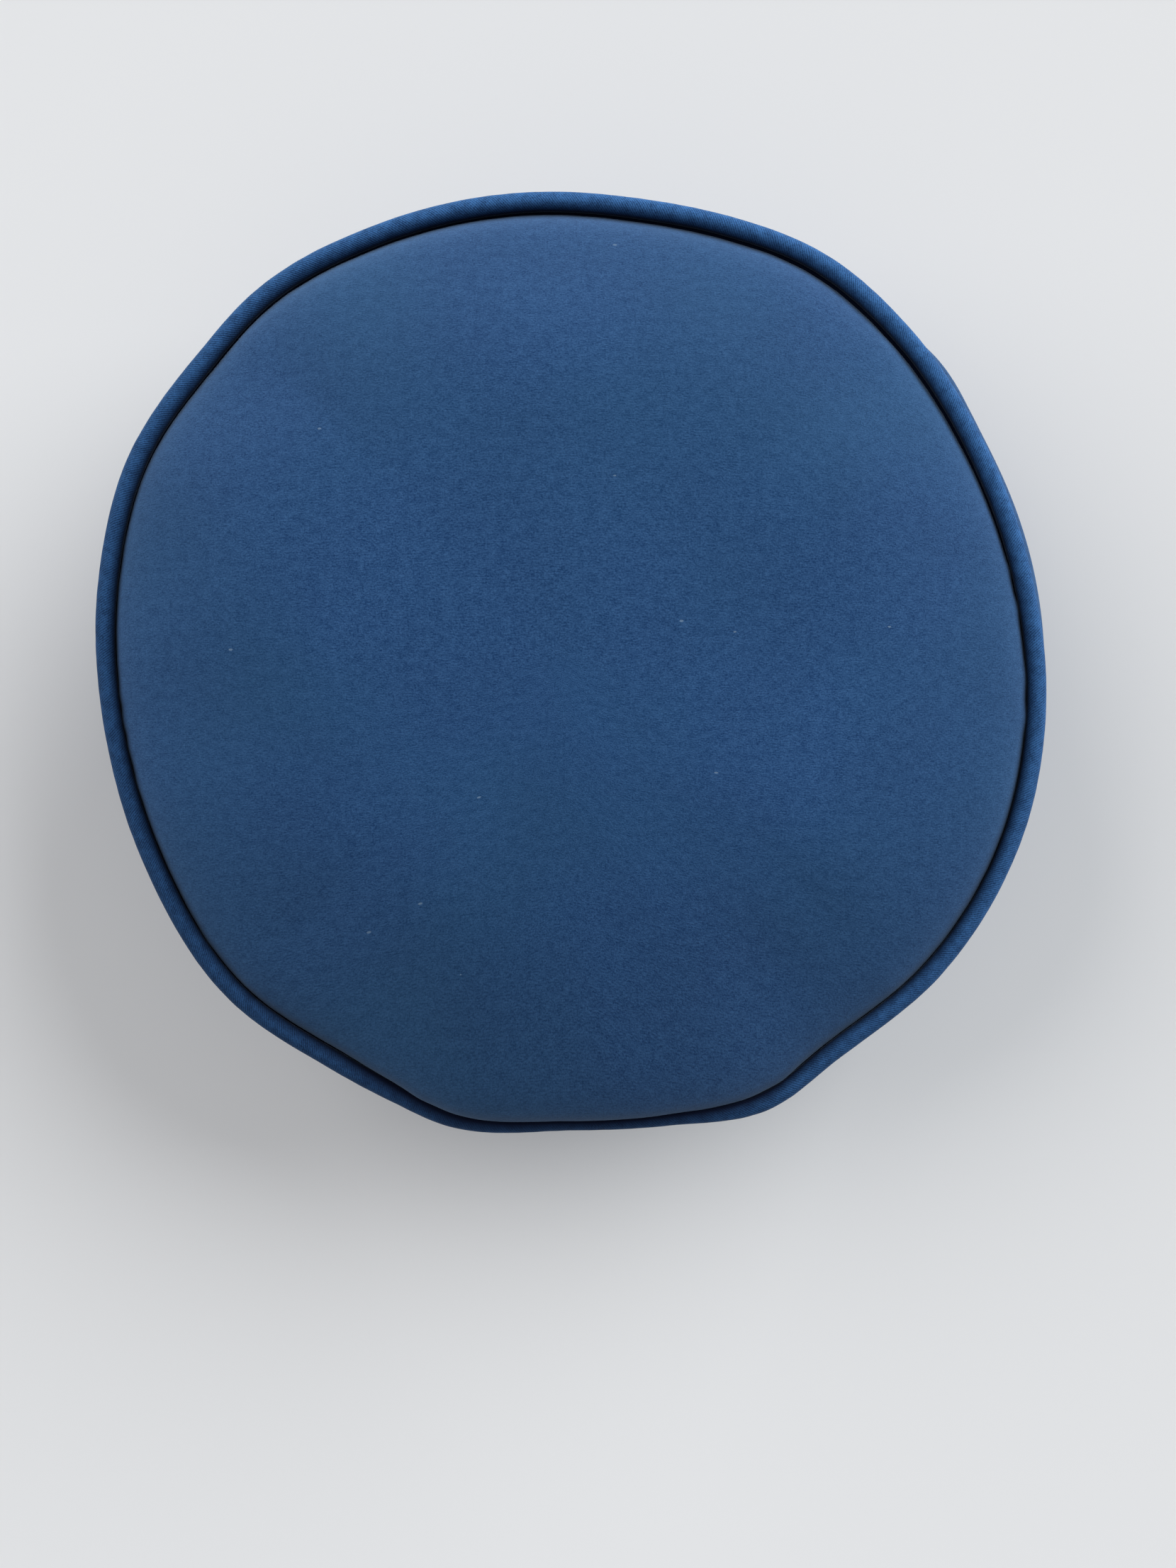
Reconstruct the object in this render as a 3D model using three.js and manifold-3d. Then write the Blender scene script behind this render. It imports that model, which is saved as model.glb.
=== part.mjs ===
// A round box-edged floor cushion, lying flat on its back with its crowned front facing up.
//
// The cover is a velvet disc front and back, joined by a side band, with a piped seam round each disc.
// A nylon zip runs along the middle of the band for about a third of the way round, between two hemmed
// strips, so that the filled insert can be taken out. The insert is a cotton casing of two discs and a
// band, stuffed with polyester fibre.
//
// Millimetres, +Z up. The origin is on the floor, under the middle of the cushion. Almost everything is a
// section turned round the Z axis: a section is a list of points (radius, height). Turn angles count from
// the -Y side towards +X, and the zip is centred on the -Y side.

import * as THREE from "three";
import { mergeGeometries, mergeVertices } from "three/addons/utils/BufferGeometryUtils.js";
import Module from "manifold-3d";

const wasm = await Module();
wasm.setup();

const { Vector2 } = THREE;

// ---------------------------------------------------------------- driving dimensions

const OVERALL_DIAMETER = 450; // across the outside of the piping
const OVERALL_HEIGHT = 130; // floor to the top of the crown
const EDGE_HEIGHT = 78; // between the two piping cords' centres
const BACK_CORD_Z = 17; // the back seam hangs this far above the floor
const REST_RADIUS = 128; // the back lies flat on the floor inside this radius

const VELVET = 1.2; // thickness, with its pile
const CASING = 0.6; // thickness of the insert's cotton
const GAP = 0.3; // between layers that touch on the real cushion

const CORD_RADIUS = 2.9; // the cotton cord inside the piping
const SEAM_TILT = 45; // degrees: how steeply the seam allowances dip into the cushion
const SEAM_ALLOWANCE = 7;
const FOLD_RADIUS = 1.2; // middle of the cloth, where it turns into a seam
const FRONT_EDGE_SLOPE = 42; // degrees: how steeply the front panel meets its seam
const BACK_EDGE_SLOPE = 28;
const BAND_BULGE = 3.4; // the band's middle stands this far outside its seams
const BAND_UPRIGHT = 34; // height of the band's upright middle

const ZIP_BAND_TURN = 150; // degrees of the band that are made as two zip strips
const CHAIN_TURN = 128; // degrees from the end of the coil to the other end
const ZIP_WINDOW = 10; // between the two hems
const HEM_DEPTH = 11;
const TAPE_GAP = 0.7; // from a hem to the tape behind it, with room for the hem's wider facets
const TAPE = { thickness: 0.5, inner: 1.2, outer: 14 };
const COIL = { inner: 0.7, outer: 3.1, thickness: 2.1 };
const TOP_STOP = { inner: 0.6, outer: 3.5, length: 2.2, thickness: 2.3 };
const BOTTOM_STOP = { width: 7, length: 3, thickness: 2.3 };

const SLIDER = { length: 10, frontWidth: 8.6, backWidth: 8, plate: 1.1, frontCorner: 1.5, backCorner: 1 };
const SLIDER_TAPER = { from: -0.5, to: 2 }; // where the slider widens, from its middle towards its front
const SLIDER_NECK = { width: 0.8, back: 1.6, front: 4.4 }; // parts the two rows of the zip
const BRIDGE = { reach: 2.9, foot: 1.1, width: 1.6, barRadius: 0.6, height: 2.1 };
const PULL = { length: 21, width: 5.6, thickness: 0.9, hole: 1.3 };
const PULL_EYE = { inner: 0.95, outer: 1.65, width: 3.2, neckLength: 3.5, shoulder: 2 };
const STOP_CLEARANCE = 0.5; // between the slider and a stop at each end of its travel

const INSERT_SEAM_INSET = 4; // from the cover's seam allowances to the insert's seams
const INSERT_SEAM_DROP = 1.5; // the insert's seams are this much nearer together than the cords
const INSERT_SIDE_GAP = 4; // from the zip slider to the insert's band
const INSERT_TOP_GAP = 1.4; // under the front panel
const INSERT_BOTTOM_GAP = 0.5; // over the back panel

const RING_STEPS = 48; // facets round a full ring
const FINE_STEP = 2.5; // degrees a facet, where the slider runs close by

// ---------------------------------------------------------------- sizes that follow

const PIPING_INNER = CORD_RADIUS + GAP;
const PIPING_OUTER = PIPING_INNER + VELVET;
const CORD_RING = OVERALL_DIAMETER / 2 - PIPING_OUTER; // radius of the cords' centre lines
const FRONT_CORD_Z = BACK_CORD_Z + EDGE_HEIGHT;
const MIDDLE_Z = (FRONT_CORD_Z + BACK_CORD_Z) / 2;

// Layers in a seam, counted from its middle plane: the piping's two flanges, and outside them a panel
// and the band.
const PIPING_FLANGE_IN = GAP / 2;
const PIPING_FLANGE_OUT = PIPING_FLANGE_IN + VELVET;
const OUTER_LAYER = PIPING_FLANGE_OUT + GAP + VELVET / 2;
const FOLD_ALONG = 5.9; // from the cord's centre to where the cloth folds into the seam
const SEAM_END = FOLD_ALONG + SEAM_ALLOWANCE;

const radians = THREE.MathUtils.degToRad;
const degreesOn = (length, radius) => THREE.MathUtils.radToDeg(length / radius);

// ---------------------------------------------------------------- drawing sections

const arc = (centre, radius, from, to, steps) =>
  new THREE.ArcCurve(centre.x, centre.y, radius, radians(from), radians(to), to < from).getPoints(steps);

const bezier = (a, b, c, d, steps) => new THREE.CubicBezierCurve(a, b, c, d).getPoints(steps);

/** The path's points without the ones that repeat their neighbour. */
const joined = (...paths) =>
  paths.flat().filter((p, i, all) => i === 0 || p.distanceTo(all[i - 1]) > 1e-3);

/** Each point of the path moved sideways, to its left, by the distance. */
function beside(path, distance) {
  return path.map((p, i) => {
    const before = path[Math.max(i - 1, 0)];
    const after = path[Math.min(i + 1, path.length - 1)];
    const a = i > 0 ? p.clone().sub(before).normalize() : null;
    const b = i < path.length - 1 ? after.clone().sub(p).normalize() : null;
    const along = (a ?? b).clone().add(b ?? a).normalize();
    const stretch = 1 / Math.max(0.5, along.dot(a ?? b));
    return new Vector2(p.x - along.y * distance * stretch, p.y + along.x * distance * stretch);
  });
}

/** The section of a sheet of cloth whose middle follows the path. */
const sheet = (path, thickness) => [
  ...beside(path, thickness / 2),
  ...beside(path, -thickness / 2).reverse(),
];

// Points round a seam. `side` is 1 for the front seam and -1 for the back one. `along` runs from the
// cord's centre into the cushion, and `toPanel` across the seam, from the band towards the panel.
function seam(side) {
  const tilt = radians(SEAM_TILT);
  const centre = new Vector2(CORD_RING, side > 0 ? FRONT_CORD_Z : BACK_CORD_Z);
  return (along, toPanel) =>
    new Vector2(
      centre.x - along * Math.cos(tilt) - toPanel * Math.sin(tilt),
      centre.y + side * (toPanel * Math.cos(tilt) - along * Math.sin(tilt)),
    );
}

/** The fold where a panel turns into the seam, from the panel's side to the seam allowance's end. */
function panelSeam(side, slope) {
  const at = seam(side);
  const fold = at(FOLD_ALONG, OUTER_LAYER + FOLD_RADIUS);
  const turned = arc(fold, FOLD_RADIUS, side * (90 - slope), -side * (90 - SEAM_TILT), 3);
  return [...turned, at(SEAM_END, OUTER_LAYER)];
}

/** The fold where the band leaves the seam, from the seam allowance's end to the band's side. */
function bandSeam(side) {
  const at = seam(side);
  const fold = at(FOLD_ALONG, -OUTER_LAYER - FOLD_RADIUS);
  const turned = arc(fold, FOLD_RADIUS, side * (90 + SEAM_TILT), 0, 3);
  return [at(SEAM_END, -OUTER_LAYER), ...turned];
}

// ---------------------------------------------------------------- turning sections

/** A closed section turned through part of a circle, with a flat face at each end. */
function turnedPart(section, from, to, steps) {
  const outline = THREE.ShapeUtils.isClockWise(section) ? [...section].reverse() : section;
  const sides = new THREE.LatheGeometry([...outline, outline[0]], steps, radians(from), radians(to - from));
  const cap = new THREE.ShapeGeometry(new THREE.Shape(outline));
  // A lathe's section at angle 0 lies in the plane of its axis and +Z, so the caps turn a quarter more.
  const start = cap.clone().rotateY(radians(from - 90));
  const end = flipped(cap.clone().rotateY(radians(to - 90)));
  return bare(mergeGeometries([bare(sides), bare(start), bare(end)]));
}

/** A closed section, or one that starts and ends on the axis, turned through the full circle. */
function turned(section) {
  const closed = section[0].x > 0 ? [...section, section[0]] : section;
  const outline = THREE.ShapeUtils.isClockWise(section) ? [...closed].reverse() : closed;
  return new THREE.LatheGeometry(outline, RING_STEPS);
}

function bare(geometry) {
  geometry.deleteAttribute("normal");
  geometry.deleteAttribute("uv");
  return mergeVertices(geometry, 1e-3);
}

function flipped(geometry) {
  const index = geometry.index.array;
  for (let i = 0; i < index.length; i += 3) [index[i], index[i + 1]] = [index[i + 1], index[i]];
  return geometry;
}

// ---------------------------------------------------------------- joining and cutting small metal pieces

function solid(geometry) {
  const merged = bare(geometry);
  return new wasm.Manifold(
    new wasm.Mesh({
      numProp: 3,
      vertProperties: merged.attributes.position.array,
      triVerts: new Uint32Array(merged.index.array),
    }),
  );
}

function geometryOf(manifold) {
  const { vertProperties, triVerts } = manifold.getMesh();
  return new THREE.BufferGeometry()
    .setAttribute("position", new THREE.BufferAttribute(new Float32Array(vertProperties), 3))
    .setIndex(new THREE.BufferAttribute(new Uint32Array(triVerts), 1));
}

/** A box between two corners. */
const block = (low, high) =>
  solid(
    new THREE.BoxGeometry(high[0] - low[0], high[1] - low[1], high[2] - low[2]).translate(
      (low[0] + high[0]) / 2,
      (low[1] + high[1]) / 2,
      (low[2] + high[2]) / 2,
    ),
  );

// ---------------------------------------------------------------- the part

const cushion = new THREE.Group();

// One colour each for velvet, the bias-cut velvet of the piping, cord, zip and insert.
const finish = {
  velvet: new THREE.MeshStandardMaterial({ color: 0x28507f, roughness: 0.9, metalness: 0 }),
  piping: new THREE.MeshStandardMaterial({ color: 0x1f4170, roughness: 0.9, metalness: 0 }),
  cord: new THREE.MeshStandardMaterial({ color: 0xe6dfcf, roughness: 0.95, metalness: 0 }),
  tape: new THREE.MeshStandardMaterial({ color: 0x1b3a63, roughness: 0.85, metalness: 0 }),
  coil: new THREE.MeshStandardMaterial({ color: 0x1c3d69, roughness: 0.45, metalness: 0 }),
  metal: new THREE.MeshStandardMaterial({ color: 0x8d9096, roughness: 0.35, metalness: 1 }),
  casing: new THREE.MeshStandardMaterial({ color: 0xefece4, roughness: 0.95, metalness: 0 }),
  fibre: new THREE.MeshStandardMaterial({ color: 0xf6f5f1, roughness: 1, metalness: 0 }),
};

/** Adds a named piece. A turned piece is made round the Y axis and stood up so that its axis is Z. */
function add(name, geometry, material, { stand = true, group = cushion } = {}) {
  const mesh = new THREE.Mesh(geometry, material);
  mesh.name = name;
  if (stand) mesh.rotation.x = Math.PI / 2;
  group.add(mesh);
  return mesh;
}

// The disc panels. The front is crowned, and the back lies flat where it rests on the floor.
function addPanels() {
  const frontEnd = panelSeam(1, FRONT_EDGE_SLOPE);
  const slope = radians(FRONT_EDGE_SLOPE);
  const top = OVERALL_HEIGHT - VELVET / 2;
  const crown = bezier(
    new Vector2(0, top),
    new Vector2(0.52 * CORD_RING, top),
    new Vector2(frontEnd[0].x - 34 * Math.cos(slope), frontEnd[0].y + 34 * Math.sin(slope)),
    frontEnd[0],
    7,
  );
  add("front_panel", turned(sheet(joined(crown, frontEnd), VELVET)), finish.velvet);

  const backEnd = panelSeam(-1, BACK_EDGE_SLOPE);
  const rise = radians(BACK_EDGE_SLOPE);
  const bottom = VELVET / 2;
  const underside = bezier(
    new Vector2(REST_RADIUS, bottom),
    new Vector2(REST_RADIUS + 36, bottom),
    new Vector2(backEnd[0].x - 22 * Math.cos(rise), backEnd[0].y - 22 * Math.sin(rise)),
    backEnd[0],
    4,
  );
  const back = joined([new Vector2(0, bottom)], underside, backEnd);
  add("back_panel", turned(sheet(back, VELVET)), finish.velvet);
}

// The piping: a cotton cord with a bias-cut velvet strip wrapped round it, whose two edges go into the seam.
function addPiping(side, end) {
  const at = seam(side);
  const centre = at(0, 0);
  const mouth = 180 + side * SEAM_TILT; // the direction of the seam, seen from the cord
  const opening = (radius, layer) => THREE.MathUtils.radToDeg(Math.asin(layer / radius));
  const outside = opening(PIPING_OUTER, PIPING_FLANGE_OUT);
  const inside = opening(PIPING_INNER, PIPING_FLANGE_IN);
  const wrap = [
    at(SEAM_END, -side * PIPING_FLANGE_OUT),
    ...arc(centre, PIPING_OUTER, mouth + outside, mouth + 360 - outside, 10),
    at(SEAM_END, side * PIPING_FLANGE_OUT),
    at(SEAM_END, side * PIPING_FLANGE_IN),
    ...arc(centre, PIPING_INNER, mouth + 360 - inside, mouth + inside, 7),
    at(SEAM_END, -side * PIPING_FLANGE_IN),
  ];
  add(`${end}_piping_cover`, turned(wrap), finish.piping);
  add(`${end}_piping_cord`, turned(arc(centre, CORD_RADIUS, 0, 360, 6).slice(0, -1)), finish.cord);
}

// The band. Its middle is upright, and it draws in to the seam at each edge.
const BAND_RADIUS = bandSeam(1).at(-1).x + BAND_BULGE; // middle of the cloth, half way up

function bandHalf(side) {
  const edge = bandSeam(side);
  const { x, y } = edge.at(-1);
  const upright = MIDDLE_Z + side * (BAND_UPRIGHT / 2);
  const swell = bezier(
    edge.at(-1),
    new Vector2(x, y - side * 5),
    new Vector2(BAND_RADIUS, upright + side * 8),
    new Vector2(BAND_RADIUS, upright),
    3,
  );
  return joined(edge, swell);
}

function addSideBand() {
  const path = joined(bandHalf(1), bandHalf(-1).reverse());
  const end = ZIP_BAND_TURN / 2 + degreesOn(GAP / 2, BAND_RADIUS);
  const steps = Math.round(((360 - 2 * end) / 360) * RING_STEPS);
  add("side_band", turnedPart(sheet(path, VELVET), end, 360 - end, steps), finish.velvet);
}

// The zip's two strips, each hemmed along the zip.
const HEM_LAYER = BAND_RADIUS - VELVET - GAP; // middle of the turned-under cloth
const TAPE_RADIUS = HEM_LAYER - VELVET / 2 - TAPE_GAP - TAPE.thickness / 2; // middle of the tape
const COIL_RADIUS = TAPE_RADIUS + TAPE.thickness / 2 + GAP; // inside of the coil

function addZipStrip(side, place) {
  const turn = (BAND_RADIUS - HEM_LAYER) / 2;
  const hem = new Vector2(BAND_RADIUS - turn, MIDDLE_Z + side * (ZIP_WINDOW / 2 + VELVET / 2 + turn));
  const path = joined(
    bandHalf(side),
    arc(hem, turn, 0, -side * 180, 2),
    [new Vector2(HEM_LAYER, hem.y + side * HEM_DEPTH)],
  );
  const end = ZIP_BAND_TURN / 2 - degreesOn(GAP / 2, BAND_RADIUS);
  const steps = Math.round((ZIP_BAND_TURN / 360) * RING_STEPS);
  add(`zip_strip_${place}`, turnedPart(sheet(path, VELVET), -end, end, steps), finish.velvet);
}

/** A rectangular section beside the zip's middle line, on one side of it. */
function zipSection(side, inner, outer, radius, thickness) {
  const [low, high] = [MIDDLE_Z + side * inner, MIDDLE_Z + side * outer];
  return [
    new Vector2(radius, low),
    new Vector2(radius + thickness, low),
    new Vector2(radius + thickness, high),
    new Vector2(radius, high),
  ];
}

function addChain(side, place) {
  const tapeEnd = ZIP_BAND_TURN / 2 - 1;
  const tape = zipSection(side, TAPE.inner, TAPE.outer, TAPE_RADIUS - TAPE.thickness / 2, TAPE.thickness);
  const tapeSteps = Math.round((2 * tapeEnd) / FINE_STEP);
  add(`zip_tape_${place}`, turnedPart(tape, -tapeEnd, tapeEnd, tapeSteps), finish.tape);
  const coil = zipSection(side, COIL.inner, COIL.outer, COIL_RADIUS, COIL.thickness);
  const coilSteps = Math.round(CHAIN_TURN / FINE_STEP);
  add(`zip_coil_${place}`, turnedPart(coil, -CHAIN_TURN / 2, CHAIN_TURN / 2, coilSteps), finish.coil);

  const start = CHAIN_TURN / 2 + degreesOn(GAP, COIL_RADIUS);
  const stop = zipSection(side, TOP_STOP.inner, TOP_STOP.outer, COIL_RADIUS, TOP_STOP.thickness);
  const stopEnd = start + degreesOn(TOP_STOP.length, COIL_RADIUS);
  add(`zip_top_stop_${place}`, turnedPart(stop, start, stopEnd, 1), finish.metal);
}

function addBottomStop() {
  const start = -CHAIN_TURN / 2 - degreesOn(GAP, COIL_RADIUS);
  const half = BOTTOM_STOP.width / 2;
  const stop = zipSection(1, -half, half, COIL_RADIUS, BOTTOM_STOP.thickness);
  const end = start - degreesOn(BOTTOM_STOP.length, COIL_RADIUS);
  add("zip_bottom_stop", turnedPart(stop, end, start, 1), finish.metal);
}

// The slider and its pull, drawn upright at the -Y side and then swung round to the closed end of the zip.
// X runs along the zip, -Y points out of the cushion and Z is across the zip.
const SLIDER_TURN =
  CHAIN_TURN / 2 + degreesOn(GAP - STOP_CLEARANCE - SLIDER.length / 2, COIL_RADIUS);
const PLATE_IN = COIL_RADIUS + COIL.thickness + GAP; // underside of the slider's outer plate
const PLATE_OUT = PLATE_IN + SLIDER.plate;
const BAR_RADIUS = PLATE_OUT + BRIDGE.height; // centre of the bar that the pull hangs on

/** The slider's plan, wider at the end that the open rows enter. */
function sliderPlan() {
  const [half, front, back] = [SLIDER.length / 2, SLIDER.frontWidth / 2, SLIDER.backWidth / 2];
  const { frontCorner, backCorner } = SLIDER;
  const { from, to } = SLIDER_TAPER;
  const plan = new THREE.Shape();
  plan.moveTo(-half, -back + backCorner);
  plan.quadraticCurveTo(-half, -back, -half + backCorner, -back);
  plan.lineTo(from, -back);
  plan.lineTo(to, -front);
  plan.lineTo(half - frontCorner, -front);
  plan.quadraticCurveTo(half, -front, half, -front + frontCorner);
  plan.lineTo(half, front - frontCorner);
  plan.quadraticCurveTo(half, front, half - frontCorner, front);
  plan.lineTo(to, front);
  plan.lineTo(from, back);
  plan.lineTo(-half + backCorner, back);
  plan.quadraticCurveTo(-half, back, -half, back - backCorner);
  plan.closePath();
  return plan;
}

/** The slider's plan as a plate between two distances from the cushion's axis. */
function sliderPlate(inner, outer) {
  const plate = new THREE.ExtrudeGeometry(sliderPlan(), {
    depth: outer - inner,
    bevelEnabled: false,
    curveSegments: 3,
  });
  return solid(plate.rotateX(Math.PI / 2).translate(0, -inner, MIDDLE_Z));
}

function sliderSolid() {
  const outerPlateIn = TAPE_RADIUS + TAPE.thickness / 2 + GAP;
  const innerPlateOut = TAPE_RADIUS - TAPE.thickness / 2 - GAP;
  const overlap = 0.2; // how far joined pieces reach into each other
  const channel = COIL.outer + GAP; // half the width of the channel that the joined rows run in
  const trough = block(
    [-SLIDER.length, -PLATE_IN, MIDDLE_Z - channel],
    [SLIDER.length, -outerPlateIn + 1, MIDDLE_Z + channel],
  );
  const outerPlate = sliderPlate(outerPlateIn, PLATE_OUT).subtract(trough);
  const neck = block(
    [SLIDER_NECK.back, -PLATE_IN - overlap, MIDDLE_Z - SLIDER_NECK.width / 2],
    [SLIDER_NECK.front, -innerPlateOut + overlap, MIDDLE_Z + SLIDER_NECK.width / 2],
  );
  const { reach, foot, width, barRadius } = BRIDGE;
  const feet = [-reach, reach - foot].map((x) =>
    block(
      [x, -BAR_RADIUS - barRadius, MIDDLE_Z - width / 2],
      [x + foot, -PLATE_OUT + overlap, MIDDLE_Z + width / 2],
    ),
  );
  const bar = solid(
    new THREE.CylinderGeometry(barRadius, barRadius, 2 * reach - foot, 10)
      .rotateZ(Math.PI / 2)
      .translate(0, -BAR_RADIUS, MIDDLE_Z),
  );
  return [sliderPlate(innerPlateOut - SLIDER.plate, innerPlateOut), neck, ...feet, bar].reduce(
    (whole, piece) => whole.add(piece),
    outerPlate,
  );
}

/** The pull's flat tag, hanging down from its eye at the origin, with a round end and a round hole. */
function tagShape() {
  const [half, neck] = [PULL.width / 2, PULL_EYE.width / 2];
  const start = -(PULL_EYE.inner + PULL_EYE.outer) / 2;
  const shoulder = start - PULL_EYE.neckLength;
  const end = half - PULL.length; // middle of the round end
  const tag = new THREE.Shape();
  tag.moveTo(-neck, start);
  tag.quadraticCurveTo(-neck, shoulder, -half, shoulder - PULL_EYE.shoulder);
  tag.lineTo(-half, end);
  tag.absarc(0, end, half, Math.PI, 2 * Math.PI, false);
  tag.lineTo(half, shoulder - PULL_EYE.shoulder);
  tag.quadraticCurveTo(neck, shoulder, neck, start);
  tag.closePath();
  tag.holes.push(new THREE.Path().absarc(0, end, PULL.hole, 0, 2 * Math.PI, true));
  return tag;
}

/** The pull hangs from the bar by its eye, and swings outwards and up. */
function pullSolid() {
  const ring = new THREE.Shape().absarc(0, 0, PULL_EYE.outer, 0, 2 * Math.PI);
  ring.holes.push(new THREE.Path().absarc(0, 0, PULL_EYE.inner, 0, 2 * Math.PI, true));
  const eye = solid(
    new THREE.ExtrudeGeometry(ring, { depth: PULL_EYE.width, bevelEnabled: false, curveSegments: 8 })
      .rotateY(Math.PI / 2)
      .translate(-PULL_EYE.width / 2, -BAR_RADIUS, MIDDLE_Z),
  );
  const tag = solid(
    new THREE.ExtrudeGeometry(tagShape(), { depth: PULL.thickness, bevelEnabled: false, curveSegments: 6 })
      .rotateX(Math.PI / 2)
      .translate(0, PULL.thickness / 2 - BAR_RADIUS, MIDDLE_Z),
  );
  return eye.add(tag);
}

function addSliderAndPull() {
  const place = new THREE.Group();
  place.rotation.z = radians(SLIDER_TURN);
  cushion.add(place);
  add("zip_slider", geometryOf(sliderSolid()), finish.metal, { stand: false, group: place });
  add("zip_pull", geometryOf(pullSolid()), finish.metal, { stand: false, group: place });
}

/** The path without the last stretch at each end, so that it stops short of its neighbours. */
function shortened(path, cut) {
  const stepIn = (end, next) => end.clone().lerp(next, cut / end.distanceTo(next));
  return [stepIn(path[0], path[1]), ...path.slice(1, -1), stepIn(path.at(-1), path.at(-2))];
}

// The insert: a rounder shape that fills the cover inside its seam allowances.
function addInsert() {
  const seamRadius = seam(1)(SEAM_END, OUTER_LAYER).x - INSERT_SEAM_INSET;
  const side = TAPE_RADIUS - SLIDER.plate - INSERT_SIDE_GAP;
  const top = OVERALL_HEIGHT - VELVET - INSERT_TOP_GAP - CASING / 2;
  const bottom = VELVET + INSERT_BOTTOM_GAP + CASING / 2;
  const frontSeam = new Vector2(seamRadius, FRONT_CORD_Z - INSERT_SEAM_DROP);
  const backSeam = new Vector2(seamRadius, BACK_CORD_Z + INSERT_SEAM_DROP);
  const front = bezier(
    new Vector2(0, top),
    new Vector2(CORD_RING / 2, top),
    new Vector2(seamRadius - 26, frontSeam.y + 23),
    frontSeam,
    6,
  );
  const band = bezier(
    frontSeam,
    new Vector2(side, FRONT_CORD_Z - 24),
    new Vector2(side, BACK_CORD_Z + 24),
    backSeam,
    5,
  );
  const back = bezier(
    backSeam,
    new Vector2(seamRadius - 22, backSeam.y - 11),
    new Vector2(REST_RADIUS + 20, bottom),
    new Vector2(REST_RADIUS - 8, bottom),
    3,
  );
  const centre = new Vector2(0, bottom);
  add("insert_casing_front", turned(sheet(front, CASING)), finish.casing);
  add("insert_casing_band", turned(sheet(shortened(band, CASING + GAP), CASING)), finish.casing);
  add("insert_casing_back", turned(sheet([...back, centre], CASING)), finish.casing);
  const filling = beside(joined(front, band, back, [centre]), -CASING / 2 - GAP);
  filling[0].x = 0;
  filling.at(-1).x = 0;
  add("insert_filling", turned(filling), finish.fibre);
}

addPanels();
addPiping(1, "front");
addPiping(-1, "back");
addSideBand();
addZipStrip(1, "upper");
addZipStrip(-1, "lower");
addChain(1, "upper");
addChain(-1, "lower");
addBottomStop();
addSliderAndPull();
addInsert();

export default cushion;
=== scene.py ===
"""A round box-edged floor cushion in blue velvet, lying on its back and seen from above its crowned front.

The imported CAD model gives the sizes. The cover's panels and band are cloth, simulated under the filling's
pressure with their seams held, and the piping, zip, stitches and insert are built round them.
Lengths are in metres, and +Z is up. Most shapes are written as a radius and a height at an angle round the
cushion's axis, counted from +X towards +Y. The zip is centred on the -Y side.
"""

import math

import bmesh
import bpy
import numpy as np
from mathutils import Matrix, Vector, noise


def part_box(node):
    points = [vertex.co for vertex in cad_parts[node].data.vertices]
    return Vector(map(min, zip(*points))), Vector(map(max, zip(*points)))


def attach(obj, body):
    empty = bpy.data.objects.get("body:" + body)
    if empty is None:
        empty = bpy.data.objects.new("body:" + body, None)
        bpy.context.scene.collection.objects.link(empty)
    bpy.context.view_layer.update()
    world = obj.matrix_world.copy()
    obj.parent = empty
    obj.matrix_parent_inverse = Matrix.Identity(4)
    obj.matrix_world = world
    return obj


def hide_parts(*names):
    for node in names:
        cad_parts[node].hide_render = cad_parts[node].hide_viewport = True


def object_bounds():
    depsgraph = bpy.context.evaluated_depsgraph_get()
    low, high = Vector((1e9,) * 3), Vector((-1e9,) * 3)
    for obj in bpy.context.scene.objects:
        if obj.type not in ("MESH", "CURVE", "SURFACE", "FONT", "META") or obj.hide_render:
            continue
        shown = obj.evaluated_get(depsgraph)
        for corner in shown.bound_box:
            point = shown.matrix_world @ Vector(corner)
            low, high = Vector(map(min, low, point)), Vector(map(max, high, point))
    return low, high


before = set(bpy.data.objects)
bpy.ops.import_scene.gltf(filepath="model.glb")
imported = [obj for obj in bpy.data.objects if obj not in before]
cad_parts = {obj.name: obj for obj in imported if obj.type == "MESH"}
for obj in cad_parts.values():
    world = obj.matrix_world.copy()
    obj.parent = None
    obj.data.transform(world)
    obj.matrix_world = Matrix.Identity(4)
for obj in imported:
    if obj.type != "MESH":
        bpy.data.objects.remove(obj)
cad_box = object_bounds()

MM = 0.001
TURN = 2 * math.pi

# ---- sizes

cord_low, cord_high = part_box("front_piping_cord")
back_cord_low, back_cord_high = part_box("back_piping_cord")
strip_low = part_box("zip_strip_upper")[0]
lower_strip_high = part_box("zip_strip_lower")[1]
tape_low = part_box("zip_tape_upper")[0]
coil_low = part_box("zip_coil_upper")[0]

CLOTH = 1.2 * MM
TAPE_THICKNESS = 0.5 * MM
CORD = 2.9 * MM  # radius of the cord in the piping
PIPING = 4.4 * MM  # radius of the covered piping
RING = cord_high.x - CORD  # radius of the cords' centre lines
CORD_Z = {1: (cord_low.z + cord_high.z) / 2, -1: (back_cord_low.z + back_cord_high.z) / 2}
MIDDLE_Z = (strip_low.z + lower_strip_high.z) / 2
TOP = cad_box[1].z - CLOTH / 2 - 6 * MM  # the crown before its pressure, which adds the rest
BAND = -strip_low.y - CLOTH / 2  # radius of the band's middle

FLANGE = 1.35 * MM  # from a seam's middle to the outside of the piping's flange
SEAM_LAYER = FLANGE + CLOTH / 2 + 0.02 * MM  # from a seam's middle to the panel's or band's cloth
FOLD = 1.2 * MM  # radius of the fold where cloth turns into a seam
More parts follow.
